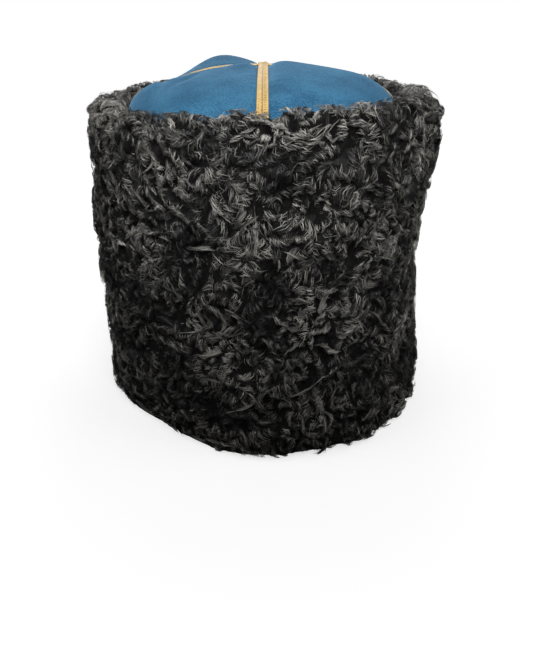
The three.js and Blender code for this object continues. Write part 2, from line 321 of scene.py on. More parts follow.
# The lights. Spread is the angle in degrees that a light's rays keep to.
LIGHTS = [
    {
        "name": "overhead",
        "size": 0.2,
        "energy": 0.27,
        "place": (0.02, -0.29, 0.36),
        "aim": (0.0, -0.08, 0.22),
        "spread": 70,
    },
    {
        "name": "key",
        "size": 0.3,
        "energy": 0.31,
        "place": (-0.34, -0.2, 0.42),
        "aim": (0.0, 0.0, 0.2),
        "spread": 110,
    },
    {
        "name": "fill",
        "size": 0.3,
        "energy": 0.3,
        "place": (0.35, -0.18, 0.42),
        "aim": (0.0, 0.0, 0.2),
        "spread": 110,
    },
    {
        "name": "back",
        "size": 0.3,
        "energy": 0.3,
        "place": (0.02, 0.42, 0.4),
        "aim": (0.0, 0.1, 0.1),
        "spread": 110,
    },
]

# The camera: its place, how far it is tilted up from straight down, in degrees, and its lens in millimetres
CAMERA_PLACE = (0.0015, -0.374, 0.226)
CAMERA_TILT = 60.6
CAMERA_LENS = 29.57
CAMERA_SENSOR = 36

# The floor, and the glow of the surround
FLOOR_HALF = 8.0
SURROUND_GLOW = 0.05


def length_property(name, description, default, **more):
    """A length that a user may change."""
    return FloatProperty(name=name, description=description, default=default, unit="LENGTH", **more)


def colour_property(name, description, default):
    """A colour that a user may change."""
    return FloatVectorProperty(name=name, description=description, default=default, subtype="COLOR", size=3)


class HatSizes(bpy.types.PropertyGroup):
    """The hat's own sizes"""

    head_width: length_property(
        "Head width", "Width of the opening for the head at the lower rim", 0.172
    )
    head_length: length_property(
        "Head length", "Length of the opening for the head at the lower rim", 0.204
    )
    wall_thickness: length_property(
        "Wall thickness", "The fur wall with its pelt, padding and curls", 0.027
    )
    hat_height: length_property("Hat height", "Height of the rolled rim above the lower rim", 0.190)
    edge_radius: length_property("Edge radius", "Rounding of the fur at the lower rim", 0.006)
    top_narrowing: length_property(
        "Top narrowing", "How much less the half width and half length are at the top", 0.0045
    )
    seam_depth: length_property(
        "Seam depth", "How far the crown's seam lies below the middle of the rolled rim", 0.0025
    )
    cloth_thickness: length_property(
        "Cloth thickness", "Thickness of the crown's fulled wool cloth", 0.002
    )
    crown_rise: length_property("Crown rise", "Height of the crown's dome above its seam", 0.028)
    galloon_width: length_property("Galloon width", "Width of the gold galloons", 0.006)
    galloon_thickness: length_property("Galloon thickness", "Thickness of the gold galloons", 0.0008)
    gap: length_property("Gap", "Clearance between pieces that touch", 0.0003)


class FurSizes(bpy.types.PropertyGroup):
    """The sizes of the curls and their hairs"""

    curl_pitch: length_property(
        "Curl pitch", "Distance between the middles of neighbouring curls", 0.0064
    )
    curl_length: length_property("Curl length", "Usual length of a curl along its roll", 0.0095)
    curl_radius: length_property(
        "Curl radius", "Usual radius of the roll that the hairs of a curl lie round", 0.0034
    )
    fur_lift: length_property(
        "Fur lift", "How far the tops of the curls stand above the wall's outline", -0.0012
    )
    fur_unevenness: length_property(
        "Fur unevenness", "How far the fur stands out or in from one patch to the next", 0.0015
    )
    rim_puff: length_property(
        "Rim puff", "How much further the fur stands out along the rim's crest", 0.0024
    )
    hairs_per_curl: IntProperty(
        name="Hairs in a curl",
        description="How many hairs each curl has",
        default=33,
        min=1,
    )
    hair_width: length_property(
        "Hair width", "Width of a bundle of hairs at its thickest", 0.00031, precision=5
    )
    seed: IntProperty(
        name="Seed",
        description="Another number gives other curls",
        default=11,
    )


class HatColours(bpy.types.PropertyGroup):
    """The colours of the fur, the cloth and the galloons"""

    hair_dark: colour_property("Dark hair", "Colour of the darkest hairs", (0.006, 0.006, 0.0063))
    hair_light: colour_property("Light hair", "Colour of the lightest hairs", (0.49, 0.476, 0.432))
    pelt: colour_property(
        "Underfur", "Colour of the lightest streaks between the curls", (0.024, 0.0238, 0.0228)
    )
    cloth: colour_property("Cloth", "Colour of the crown's cloth", (0.0075, 0.052, 0.112))
    cloth_nap: colour_property(
        "Cloth nap", "Colour of the lighter fibres in the crown's cloth", (0.04, 0.148, 0.255)
    )
    gold: colour_property("Gold thread", "Colour of the raised threads of the galloons", (0.7, 0.5, 0.2))
    gold_shade: colour_property(
        "Gold ground", "Colour of the galloons between the raised threads", (0.44, 0.28, 0.09)
    )


# Numbers


def hump(distance, spread):
    """1 at the middle of a hump, and almost nothing at twice its spread."""
    return np.exp(-((distance / spread) ** 2))


def turn_between(a, b):
    """The angle in degrees between two directions, the short way round."""
    return 180 - np.abs((a - b) % 360 - 180)


def near(row, degrees):
    """How near a turn is to a row's own: 1 there, and almost nothing at twice the row's spread."""
    return hump(turn_between(degrees, row["turn"]), row["spread"])


def eased(x, rows, column):
    """The named column of a table of sections at x, eased from row to row."""
    stops = np.array([row["up"] for row in rows])
    values = np.array([row[column] for row in rows])
    above = np.clip(np.searchsorted(stops, x), 1, len(stops) - 1)
    share = np.clip((x - stops[above - 1]) / (stops[above] - stops[above - 1]), 0, 1)
    share = share * share * (3 - 2 * share)
    return values[above - 1] + (values[above] - values[above - 1]) * share


def unit(vectors):
    """The same directions with a length of 1."""
    return vectors / np.maximum(np.linalg.norm(vectors, axis=-1, keepdims=True), NEARLY_NOTHING)


def soft_noise(points, wavelength, seed, waves=28):
    """A smooth random value at each point, about 1 away from 0 on average."""
    draw = np.random.default_rng(seed)
    ways = unit(draw.normal(size=(waves, 3)))
    ways = ways * (TURN / (wavelength * draw.uniform(*NOISE_MIX, (waves, 1))))
    starts = draw.uniform(0, TURN, waves)
    return np.cos(points @ ways.T + starts).sum(-1) / math.sqrt(waves / 2)


# Meshes


def mesh_object(name, points, faces, face_uvs):
    """A smooth mesh from points, arrays of faces with equal corner counts, and a map place per corner."""
    mesh = bpy.data.meshes.new(name)
    corners = np.concatenate([face.ravel() for face in faces])
    sizes = np.concatenate([np.full(len(face), face.shape[1]) for face in faces])
    mesh.vertices.add(len(points))
    mesh.vertices.foreach_set("co", np.asarray(points, np.float32).ravel())
    mesh.loops.add(len(corners))
    mesh.loops.foreach_set("vertex_index", corners.astype(np.int32))
    mesh.polygons.add(len(sizes))
    mesh.polygons.foreach_set("loop_start", (np.cumsum(sizes) - sizes).astype(np.int32))
    mesh.polygons.foreach_set("use_smooth", np.ones(len(sizes), bool))
    uv_map = mesh.uv_layers.new(name=BAKE_MAP)
    uv_map.data.foreach_set("uv", np.concatenate([uv.ravel() for uv in face_uvs]).astype(np.float32))
    mesh.update(calc_edges=True)
    made = bpy.data.objects.new(name, mesh)
    bpy.context.scene.collection.objects.link(made)
    return made


def add_attribute(piece, name, kind, field, values):
    """Gives every point of a piece a named value for its material."""
    attribute = piece.data.attributes.new(name, kind, "POINT")
    attribute.data.foreach_set(field, values.astype(np.float32).ravel())


def lattice_faces(rows, columns, round_rows=False):
    """Four-cornered faces between rows of points that run right round, facing out where rows climb."""
    spans = rows if round_rows else rows - 1
    row, column = np.meshgrid(np.arange(spans), np.arange(columns), indexing="ij")
    this_row = row * columns
    next_row = (row + 1) % rows * columns
    beside = (column + 1) % columns
    faces = np.stack([this_row + column, this_row + beside, next_row + beside, next_row + column], -1)
    across = np.stack([column, column + 1, column + 1, column], -1) / columns
    up = np.stack([row, row, row + 1, row + 1], -1) / spans
    return faces.reshape(-1, 4), np.stack([across, up], -1).reshape(-1, 4, 2)


# The wall


class HatForm:
    """What follows from the hat's sizes."""

    def __init__(self, sizes):
        low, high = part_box("crown_cloth")
        self.middle_x = (low.x + high.x) / 2
        self.middle_y = (low.y + high.y) / 2
        self.half_width = sizes.head_width / 2 + sizes.wall_thickness
        self.half_length = sizes.head_length / 2 + sizes.wall_thickness
        self.head_width = sizes.head_width
        self.wall_thickness = sizes.wall_thickness
        self.hat_height = sizes.hat_height
        self.edge_radius = sizes.edge_radius
        self.top_narrowing = sizes.top_narrowing
        self.cloth_thickness = sizes.cloth_thickness
        self.crown_rise = sizes.crown_rise
        self.galloon_width = sizes.galloon_width
        self.galloon_thickness = sizes.galloon_thickness
        self.gap = sizes.gap
        ledge_width = sizes.cloth_thickness + sizes.galloon_thickness + 3 * sizes.gap
        self.rim_thickness = sizes.wall_thickness - ledge_width
        self.rim_radius = self.rim_thickness / 2
        self.roll_height = sizes.hat_height - self.rim_radius
        self.seam_height = self.roll_height - sizes.seam_depth
        self.crown_inset = self.rim_thickness + sizes.galloon_thickness + 2 * sizes.gap
        self.lane_half = sizes.galloon_width / 2 + sizes.gap
        self.side_start = sizes.edge_radius * math.pi / 2
        self.side_end = self.side_start + self.roll_height - sizes.edge_radius
        self.section_length = self.side_end + math.pi * self.rim_radius
        self.crest = self.side_end + self.rim_radius * math.pi / 2
        self.turns = np.linspace(0, TURN, GIRTH_STEPS + 1)
        steps_x = self.half_width * np.diff(np.cos(self.turns))
        steps_y = self.half_length * np.diff(np.sin(self.turns))
        self.rounds = np.concatenate([[0], np.cumsum(np.hypot(steps_x, steps_y))])
        self.girth = self.rounds[-1]

    def turn_at(self, round_place):
        """The angle from +X at a distance round the girth."""
        laps, rest = np.divmod(round_place, self.girth)
        return laps * TURN + np.interp(rest, self.rounds, self.turns)

    def wall_point(self, turn, place, stand):
        """Points of the fur from a turn, a place up and over the roll, and how far out they stand."""
        low = np.clip(place / self.edge_radius, 0, math.pi / 2)
        over = np.clip((place - self.side_end) / self.rim_radius, 0, math.pi)
        climb = np.clip(place - self.side_start, 0, self.side_end - self.side_start)
        under = np.maximum(-place, 0)
        down = np.maximum(place - self.section_length, 0)
        face_out = np.sin(low) * np.cos(over)
        face_up = np.sin(over) - np.cos(low)
        inset = self.edge_radius * (1 - np.sin(low)) + self.rim_radius * (1 - np.cos(over)) + under
        height = self.edge_radius * (1 - np.cos(low)) + climb + self.rim_radius * np.sin(over) - down
        up = height / self.hat_height
        degrees = np.degrees(turn)
        swell = sum(row["out"] * near(row, degrees) * hump(up - row["up"], row["tall"]) for row in SWELLS)
        wave = sum(row["lift"] * near(row, degrees) for row in RIM_WAVES)
        lifted = np.clip((height - self.seam_height) / (self.hat_height - self.seam_height), 0, 1)
        # A stretch that is drawn in takes the lower edge along, and one that stands out leaves it in place
        swelled = np.where(swell < 0, np.maximum(np.cos(over), 0), np.maximum(face_out, 0))
        out = face_out * stand + swelled * self.wall_thickness * swell
        out = out - inset - self.top_narrowing * eased(up, WALL_SECTIONS, "narrowing")
        across = self.middle_x + self.head_width * eased(up, WALL_SECTIONS, "shift")
        return np.stack(
            [
                across + (self.half_width + out) * np.cos(turn),
                self.middle_y + (self.half_length + out) * np.sin(turn),
                height + face_up * stand + lifted * self.rim_thickness * wave,
            ],
            -1,
        )

    def ring(self, turns, inset, height):
        """A ring of plain points at a height, this far in from the wall's outline."""
        up = height / self.hat_height
        inset = inset + self.top_narrowing * eased(up, WALL_SECTIONS, "narrowing")
        across = self.middle_x + self.head_width * eased(up, WALL_SECTIONS, "shift")
        return np.stack(
            [
                across + (self.half_width - inset) * np.cos(turns),
                self.middle_y + (self.half_length - inset) * np.sin(turns),
                np.full(len(turns), height),
            ],
            -1,
        )


# The curls


class Curls:
    """Every curl: where its roll lies on the fur, which way it runs, how big it is and how it tapers."""

    def __init__(self, form, fur):
        draw = np.random.default_rng(fur.seed)
        columns = round(form.girth / fur.curl_pitch)
        rows = round(form.section_length / fur.curl_pitch)
        grids = np.meshgrid(np.arange(columns), np.arange(rows), indexing="ij")
        column, row = (grid.ravel() for grid in grids)
        count = len(column)

        def differ(name):
            return draw.normal(0, CURL_SPREAD[name], count)

        shake = draw.uniform(-CURL_SHAKE, CURL_SHAKE, (2, count))
        self.round_place = (column + 0.5 * (row % 2) + shake[0]) * form.girth / columns
        self.up_place = (row + 0.5 + shake[1]) * form.section_length / rows
        self.turn = form.turn_at(self.round_place)
        middles = form.wall_point(self.turn, self.up_place, 0.0)

        def patches(name, seed_step):
            return soft_noise(middles, CURL_PATCH[name], fur.seed + seed_step)

        self.lean = patches("lean", 1) + differ("lean")
        size = np.clip(1 + CURL_SIZE_WAVE * patches("size", 2) + differ("size"), *CURL_SIZES)
        self.radius = fur.curl_radius * size
        self.half_long = fur.curl_length / 2 * np.clip(size + differ("length"), *CURL_LENGTHS)
        self.bend = differ("bend")
        self.drift = differ("drift")
        self.sweep = differ("sweep")
        self.bow = differ("bow")
        self.converge = draw.uniform(-CURL_CONVERGE, CURL_CONVERGE, count)
        self.tilt = np.clip(differ("tilt"), -CURL_TILT_LIMIT, CURL_TILT_LIMIT)
        self.way = np.where(draw.random(count) < CURL_SAME_WAY, 1.0, -1.0)
        degrees = np.degrees(self.turn)
        lobes = np.clip(1 + LOBE_WAVE * patches("lobes", 5), *LOBE_LIMITS)
        lobes = lobes + sum(row["puff"] * near(row, degrees) for row in RIM_LOBES)
        puff = fur.rim_puff * hump(self.up_place - form.crest, CREST_WIDTH) * lobes
        lumps = np.minimum(fur.fur_unevenness * patches("lumps", 3), LUMP_LIMIT)
        self.stand = fur.fur_lift + lumps + puff - self.radius + differ("stand")
        self.ceiling = fur.fur_lift + puff + CEILING_CLEARANCE
        self.tone = CURL_TONE + CURL_TONE_WAVE * patches("tone", 4) + differ("tone")
        up = middles[:, 2] / form.hat_height
        # Painted highlights and painted shade: these patches raise or lower the curls' tone
        for row in HIGHLIGHT_AND_SHADE_PATCHES:
            self.tone = self.tone + row["tone"] * near(row, degrees) * hump(up - row["up"], row["tall"])
        self.count = count

    def on_surface(self, form, which, along, across, out):
        """Points from places in a curl's own frame: along its roll, across it and out from the pelt."""
        across = across + self.bend[which] * along**2 / self.half_long[which]
        tipped = np.sin(self.tilt[which])
        level = np.cos(self.tilt[which])
        along, out = along * level + out * tipped, out * level - along * tipped
        side = np.cos(self.lean[which])
        rise = np.sin(self.lean[which])
        round_place = self.round_place[which] + along * side - across * rise
        up_place = self.up_place[which] + along * rise + across * side
        stand = self.stand[which] + out
        stand = stand - PRESSED_BACK * np.maximum(stand - self.ceiling[which], 0)
        return form.wall_point(form.turn_at(round_place), up_place, stand)


def hair_lines(form, fur, curls, draw):
    """The line of every hair with the middle of its roll, its tone and the curl that it belongs to."""
    which = np.repeat(np.arange(curls.count), fur.hairs_per_curl)
    count = len(which)

    def differ(name, middle=0, shape=count):
        return draw.normal(middle, HAIR_SPREAD[name], shape)

    place = draw.uniform(-HAIR_ALONG, HAIR_ALONG, count)
    flying = draw.random(count) < FLYAWAY_SHARE
    reach = np.where(flying, draw.uniform(*FLYAWAY_REACH, count), differ("reach", HAIR_REACH))
    girdle = np.sqrt(1 - ROLL_TAPER * place**2)
    radius = curls.radius[which] * girdle * np.clip(reach, *HAIR_REACHES)
    start = np.radians(differ("start", HAIR_START))
    end = np.radians(np.clip(differ("end", HAIR_END), *HAIR_ENDS))
    share = np.linspace(0, 1, HAIR_STEPS)[None, :]
    angle = start[:, None] + (end - start)[:, None] * share
    closing = 1 - ROLL_CLOSING * share
    wave = differ("wave", shape=(count, 1))
    wave = wave * np.sin(share * HAIR_WAVES + draw.uniform(0, TURN, (count, 1)))
    sweep = (curls.sweep[which] + differ("sweep"))[:, None] * share**2
    bow = (curls.bow[which] + differ("bow"))[:, None] * 4 * share * (1 - share)
    drift = (curls.drift[which] + differ("drift"))[:, None] * (share * 2 - 1)
    along = place[:, None] * curls.half_long[which][:, None] * (1 - curls.converge[which][:, None] * share)
    along = along + drift + (sweep + bow) + wave
    across = -curls.way[which][:, None] * np.cos(angle) * radius[:, None] * closing
    out = np.sin(angle) * radius[:, None] * closing
    lines = curls.on_surface(form, which[:, None], along, across, out)
    lines[..., 2] = np.maximum(lines[..., 2], HAIR_CLEARANCE)
    depth = ROLL_MIDDLE * curls.radius[which]
    middles = curls.on_surface(form, which, place * curls.half_long[which], 0.0, depth)
    strand = STRAND_TONE * np.sin(place * STRANDS + curls.tone[which] * STRAND_MIX) + differ("tone")
    return lines, middles, np.clip(curls.tone[which] + strand, *HAIR_TONES), which


def hair_mesh(name, lines, middles, tones, width, twist):
    """Hairs as one mesh: each is a narrow strip that shades as a round thread and thins towards its tip."""
    count, steps = lines.shape[:2]
    ways = unit(np.gradient(lines, axis=1))
    outward = lines - middles[:, None, :]
    flat = unit(np.cross(outward, ways))
    upright = np.cross(ways, flat)
    turn = twist[:, None, None]
    beside = (flat * np.cos(turn) + upright * np.sin(turn))[:, :, None, :]
    above = (upright * np.cos(turn) - flat * np.sin(turn))[:, :, None, :]
    profile = np.interp(np.linspace(0, 1, steps), HAIR_PROFILE["along"], HAIR_PROFILE["width"])
    half = 0.5 * width[:, None] * profile[None, :]
    sides = np.array([-1.0, 1.0])[None, None, :, None]
    points = lines[:, :, None, :] + half[:, :, None, None] * sides * beside
    normals = math.sin(HAIR_ROUNDNESS) * sides * beside + math.cos(HAIR_ROUNDNESS) * above

    step = np.arange(steps - 1)[None, :]
    first = (np.arange(count) * steps * 2)[:, None] + step * 2
    faces = np.stack([first + 1, first, first + 2, first + 3], -1).reshape(-1, 4)
    map_start, map_end = HAIR_MAP
    low = map_start + (map_end - map_start) * step / (steps - 1) + np.zeros((count, 1))
    high = map_start + (map_end - map_start) * (step + 1) / (steps - 1) + np.zeros((count, 1))
    left = tones[:, None] + np.zeros_like(low)
    right = left + HAIR_STRIPE
    uvs = np.stack([np.stack([right, left, left, right], -1), np.stack([low, low, high, high], -1)], -1)
    piece = mesh_object(name, points.reshape(-1, 3), [faces], [uvs.reshape(-1, 2)])
    piece.data.normals_split_custom_set_from_vertices(normals.reshape(-1, 3))
    return piece


def make_curls(form, fur, material):
    """The curls as five pieces: the rim, the front, the back and the two sides."""
    curls = Curls(form, fur)
    draw = np.random.default_rng(fur.seed + 20)
    lines, middles, tones, which = hair_lines(form, fur, curls, draw)
    width = fur.hair_width * np.clip(draw.normal(1, HAIR_SPREAD["width"], len(lines)), *HAIR_WIDTHS)
    twist = draw.normal(0, HAIR_SPREAD["twist"], len(lines))
    on_rim = curls.up_place[which] > form.side_end - RIM_MARGIN
    degrees = np.degrees(curls.turn[which])
    nearest = np.argmin([turn_between(degrees, face["turn"]) for face in CURL_FACES], axis=0)
    groups = [("curls_rim", on_rim)]
    groups += [(face["name"], ~on_rim & (nearest == i)) for i, face in enumerate(CURL_FACES)]
    for name, chosen in groups:
        piece = hair_mesh(name, lines[chosen], middles[chosen], tones[chosen], width[chosen], twist[chosen])
        dress(piece, material, "karakul_wall")
    return curls


# The pelt


def lay_of_rolls(curls, form, round_places, up_places):
    """The height of the curls' rolls at each place of the pelt, and where on its roll the place lies."""
    height = np.full(round_places.shape, PELT_FLOOR - 1.0)
    lay = np.zeros((*round_places.shape, 3))
    half_girth = form.girth / 2
    for k in range(curls.count):
        radius, half_long = curls.radius[k], curls.half_long[k]
        reach = ROLL_REACH * half_long + radius
        across = (round_places - curls.round_place[k] + half_girth) % form.girth - half_girth
        close = (np.abs(across) < reach) & (np.abs(up_places - curls.up_place[k]) < reach)
        side, rise = math.cos(curls.lean[k]), math.sin(curls.lean[k])
        dx, dy = across[close], up_places[close] - curls.up_place[k]
        along, off = dx * side + dy * rise, dy * side - dx * rise
        off = off - curls.bend[k] * along**2 / half_long
        past = np.maximum(np.abs(along) - half_long * ROLL_STRAIGHT, 0)
        fall = (off**2 + past**2) / radius**2
        sunk = ROLL_SUNK + CREST_SUNK * hump(curls.up_place[k] - form.crest, CREST_SUNK_WIDTH)
        top = curls.stand[k] + radius * (ROLL_HEIGHT * np.sqrt(np.maximum(1 - fall, 0)) - sunk)
        top = np.where(fall < 1, top, PELT_FLOOR - ROLL_SHOULDER * fall)
        drift = (curls.drift[k] * 2 + curls.sweep[k]) * np.clip(off / radius, -1, 1) * curls.way[k]
        kind = np.full(len(along), STREAK_OFFSET * (k % STREAK_KINDS))
        place = np.stack([along - drift, STREAK_LENGTH * off, kind], -1)
        mine = top > height[close]
        height[close] = np.where(mine, top, height[close])
        lay[close] = np.where(mine[:, None], place, lay[close])
    return np.maximum(height, PELT_FLOOR), lay


def make_pelt(form, curls, material):
    """The padded wall under the curls: a fur face with rolls, a flat lower edge and a plain inside."""
    shares = np.arange(PELT_COLUMNS) / PELT_COLUMNS
    places = np.linspace(0, form.section_length, PELT_ROWS)
    round_places = np.tile(shares * form.girth, (PELT_ROWS, 1))
    up_places = np.tile(places[:, None], (1, PELT_COLUMNS))
    stand, lay = lay_of_rolls(curls, form, round_places, up_places)
    to_edge = np.minimum(places, form.section_length - places) / PELT_EDGE
    stand = stand * np.clip(to_edge, PELT_EDGE_SHARE, 1)[:, None] - PELT_DEPTH
    outer = form.wall_point(form.turn_at(round_places), up_places, stand)
    outer[..., 2] = np.maximum(outer[..., 2], 0.0)

    turns = form.turn_at(shares * form.girth)
    heights = np.linspace(form.seam_height, INNER_EDGE, INNER_ROWS)
    inner = [form.ring(turns, form.rim_thickness, form.seam_height)]
    inner += [form.ring(turns, form.wall_thickness, height) for height in heights]
    inner += [form.ring(turns, form.wall_thickness - INNER_EDGE, 0.0)]
    points = np.concatenate([outer, np.array(inner)])
    faces, uvs = lattice_faces(len(points), PELT_COLUMNS, round_rows=True)
    piece = mesh_object("karakul_pelt", points.reshape(-1, 3), [faces], [uvs])
    lay = np.concatenate([lay, np.zeros((len(inner), PELT_COLUMNS, 3))])
    add_attribute(piece, "lay", "FLOAT_VECTOR", "vector", lay)
    dress(piece, material, "karakul_wall")


# The crown


def crown_share(x, y, puff, lane_x, lane_y):
    """The crown's height as a share of its rise, at shares of its half width and half length."""
    level = np.maximum(1 - x**2 - y**2, 0)
    off_x = 1 - np.exp(-np.maximum(np.abs(x) - lane_x, 0) / PUFF_SOFTNESS)
    off_y = 1 - np.exp(-np.maximum(np.abs(y) - lane_y, 0) / PUFF_SOFTNESS)
    for swell in CROWN_SWELLS:
        reach = swell["reach"]
        puff = puff + swell["height"] * hump(x - swell["x"], reach) * hump(y - swell["y"], reach)
    folds = 0
    for fold in CROWN_FOLDS:
        turn = math.radians(fold["turn"])
        dx, dy = x - fold["x"], y - fold["y"]
        lengthwise = dx * math.cos(turn) + dy * math.sin(turn)
        sideways = dy * math.cos(turn) - dx * math.sin(turn)
        folds = folds + fold["depth"] * hump(lengthwise, fold["long"]) * hump(sideways, fold["wide"])
    return level**CROWN_FULLNESS + (puff * off_x * off_y - folds) * level


def crown_point(form, quarter, ring, swing, depth):
    """A point on a quarter of the crown, from its lanes' crossing at ring 0 to the seam at ring 1."""
    narrowing = form.top_narrowing * eased(form.seam_height / form.hat_height, WALL_SECTIONS, "narrowing")
    half_width = form.half_width - narrowing - form.crown_inset - depth
    half_length = form.half_length - narrowing - form.crown_inset - depth
    reach_x = (half_width - form.lane_half) * np.cos(swing)
    reach_y = (half_length - form.lane_half) * np.sin(swing)
    overrun = np.hypot((form.lane_half + reach_x) / half_width, (form.lane_half + reach_y) / half_length)
    pull = 1 + (1 / overrun - 1) * ring**2
    x = quarter["side"] * pull * (form.lane_half + ring * reach_x)
    y = quarter["end"] * pull * (form.lane_half + ring * reach_y)
    lane_x, lane_y = form.lane_half / half_width, form.lane_half / half_length
    share = crown_share(x / half_width, y / half_length, quarter["puff"], lane_x, lane_y)
    rise = (form.crown_rise - depth) * share
    return np.stack([form.middle_x + x, form.middle_y + y, form.seam_height + form.gap + rise], -1)


def crown_face(form, rings, depth):
    """One face of the cloth as rings of points, at the given rings between crossing and seam."""
    parts = []
    for quarter in QUARTERS:
        swing = np.linspace(0, math.pi / 2, QUARTER_COLUMNS)[None, :]
        if quarter["side"] != quarter["end"]:
            swing = swing[:, ::-1]
        parts.append(crown_point(form, quarter, rings[:, None], swing, depth))
    return np.concatenate(parts, 1)


def crown_unevenness(form, face, rings):
    """How far the cloth's outer face rises and dips: slightly all over, and puckered beside the lanes."""
    from_x = np.abs(face[..., 0] - form.middle_x)
    from_y = np.abs(face[..., 1] - form.middle_y)
    off_lane = np.minimum(from_x, from_y) - form.lane_half
    along = np.where(from_x < from_y, face[..., 1], face[..., 0])
    waves = np.sin(along * TURN / PUCKER_PITCH + 2 * np.sin(along * PUCKER_WANDER))
    puckers = PUCKER_DEPTH * hump(off_lane - PUCKER_PLACE, PUCKER_WIDTH) * waves
    uneven = CROWN_UNEVENNESS * soft_noise(face, CROWN_PATCH, CROWN_SEED)
    fade = rings * (1 - rings**6)
    return (puckers + uneven) * fade[:, None]


def make_crown(form, material):
    """The blue cloth crown: a soft dome in four quarters with the cloth drawn in along the galloons."""
    outer_rings = np.sin(np.linspace(1, 0, OUTER_RINGS) * math.pi / 2)
    inner_rings = np.sin(np.linspace(0, 1, INNER_RINGS) * math.pi / 2)
    outer = crown_face(form, outer_rings, 0.0)
    inner = crown_face(form, inner_rings, form.cloth_thickness)
    outer[..., 2] += crown_unevenness(form, outer, outer_rings)
    columns = outer.shape[1]
    points = np.concatenate([outer, inner])
    faces, uvs = lattice_faces(len(points), columns, round_rows=True)
    points = points.reshape(-1, 3)
    uvs = crown_uv(points, faces, len(outer) * columns)
    piece = mesh_object("blue_crown", points, [faces], [uvs])
    dress(piece, material, "crown_cloth")


def crown_uv(points, faces, outer_count):
    """Map places: the outer face seen from above, and the inner one beside it."""
    low, high = points.min(0), points.max(0)
    scale = MAP_SPAN / (high[0] - low[0])
    flat = (points[:, :2] - low[:2]) * scale + MAP_EDGE
    flat[outer_count:, 0] += MAP_STEP
    return flat[faces]


# The galloons


def lane_line(form, crossways, rings):
    """The middle line of a lane from seam to seam, as places along it and heights."""
    swing = 0.0 if crossways else math.pi / 2
    start, end = (QUARTERS[1], QUARTERS[0]) if crossways else (QUARTERS[3], QUARTERS[0])
    axis = 0 if crossways else 1
    climb = crown_point(form, start, rings[::-1], swing, 0.0)
    descent = crown_point(form, end, rings, swing, 0.0)
    line = np.concatenate([climb, descent])
    return np.stack([line[:, axis], line[:, 2]], -1)


def ribbed(name, along):
    """The height of a band's ribs at places along the galloon."""
    band = WEAVE_BANDS[name]
    return band["height"] + band["swing"] * np.sin(TURN * along / band["pitch"])


def woven_height(across, along):
    """The galloon's weave as a share of its relief: selvedges, a ladder, a centre cord and a zigzag."""
    ladder = np.clip(ribbed("ladder", along), LADDER_LOWEST, 1.0)
    low, high = ZIGZAG_REACH
    swing = low + (high - low) * np.abs((along / ZIGZAG_PITCH) % 1 - 0.5) * 2
    zigzag = ZIGZAG_GROUND + (1 - ZIGZAG_GROUND) * hump(across - swing, ZIGZAG_WIDTH)
    height = np.where(across > LADDER_TO, ribbed("cord", along), ladder)
    height = np.where(np.abs(across) < GROOVE_HALF, 0.0, height)
    height = np.where(across > ZIGZAG_FROM, zigzag, height)
    height = np.where(np.abs(across) > SELVEDGE_FROM, ribbed("selvedge", along), height)
    return np.where(np.abs(np.abs(across) - STITCH_PLACE) < STITCH_HALF, STITCH_HEIGHT, height)


def make_galloon(form, name, node, crossways, lift, material):
    """A woven gold band laid over the crown from seam to seam."""
    line = lane_line(form, crossways, np.linspace(0, 1, LANE_RINGS) ** LANE_CROWDING)
    lengths = np.concatenate([[0], np.cumsum(np.hypot(*np.diff(line, axis=0).T))])
    along = np.linspace(0, lengths[-1], GALLOON_STEPS)
    flat = np.stack([np.interp(along, lengths, line[:, 0]), np.interp(along, lengths, line[:, 1])], -1)
    way = unit(np.gradient(flat, axis=0))
    out = np.stack([-way[:, 1], way[:, 0]], -1)
    middle = form.middle_x if crossways else form.middle_y
    crossing = hump(flat[:, 0] - middle, form.galloon_width * CROSSING_WIDTH)
    clear = form.gap + lift * crossing

    # The woven face from edge to edge, then the plain underside
    across = np.concatenate([np.linspace(-1, 1, GALLOON_COLUMNS), [1.0, 0.0, -1.0]])
    on_top = np.concatenate([np.ones(GALLOON_COLUMNS), np.zeros(3)])
    weave = woven_height(across[None, :], along[:, None])
    edge = np.sqrt(np.maximum(1 - across**6, 0))[None, :]
    edge = EDGE_THICKNESS + (1 - EDGE_THICKNESS) * edge
    thick = form.galloon_thickness * edge - WEAVE_RELIEF * (1 - weave)
    height = clear[:, None] + on_top * thick
    side = across[None, :] * form.galloon_width / 2 * np.ones((GALLOON_STEPS, 1))
    run = flat[:, None, :] + out[:, None, :] * height[..., None]
    if crossways:
        points = np.stack([run[..., 0], form.middle_y + side, run[..., 1]], -1)
    else:
        points = np.stack([form.middle_x - side, run[..., 0], run[..., 1]], -1)
    points = points[:, ::-1]
    columns = np.arange(points.shape[1])
    faces, uvs = lattice_faces(GALLOON_STEPS, len(columns))
    ends = np.array([columns[::-1], columns + (GALLOON_STEPS - 1) * len(columns)])
    end_uvs = END_MAP_PLACE + END_MAP_SIZE * np.stack([np.cos(columns), np.sin(columns)], -1)
    uvs = uvs * (1 - MAP_EDGE - END_MAP_EDGE) + MAP_EDGE
    piece = mesh_object(name, points.reshape(-1, 3), [faces, ends], [uvs, np.stack([end_uvs, end_uvs])])
    # The weave's height, which the gold material turns into painted shade in the hollows
    add_attribute(piece, "raised", "FLOAT", "value", (weave * on_top)[:, ::-1])
    dress(piece, material, node)


# Materials


def socket_group(name, inputs, outputs):
    """A new node group with named number inputs and colour or number outputs."""
    group = bpy.data.node_groups.new(name, "ShaderNodeTree")
    for label, kind, value in inputs:
        socket = group.interface.new_socket(label, in_out="INPUT", socket_type=kind)
        socket.default_value = value
    for label, kind in outputs:
        group.interface.new_socket(label, in_out="OUTPUT", socket_type=kind)
    return group, group.nodes.new("NodeGroupInput"), group.nodes.new("NodeGroupOutput")


def with_alpha(colour):
    """A colour as the four numbers of a colour socket."""
    return (*colour, 1.0)


def grey(share):
    """A plain grey as the four numbers of a colour socket."""
    return (share, share, share, 1.0)


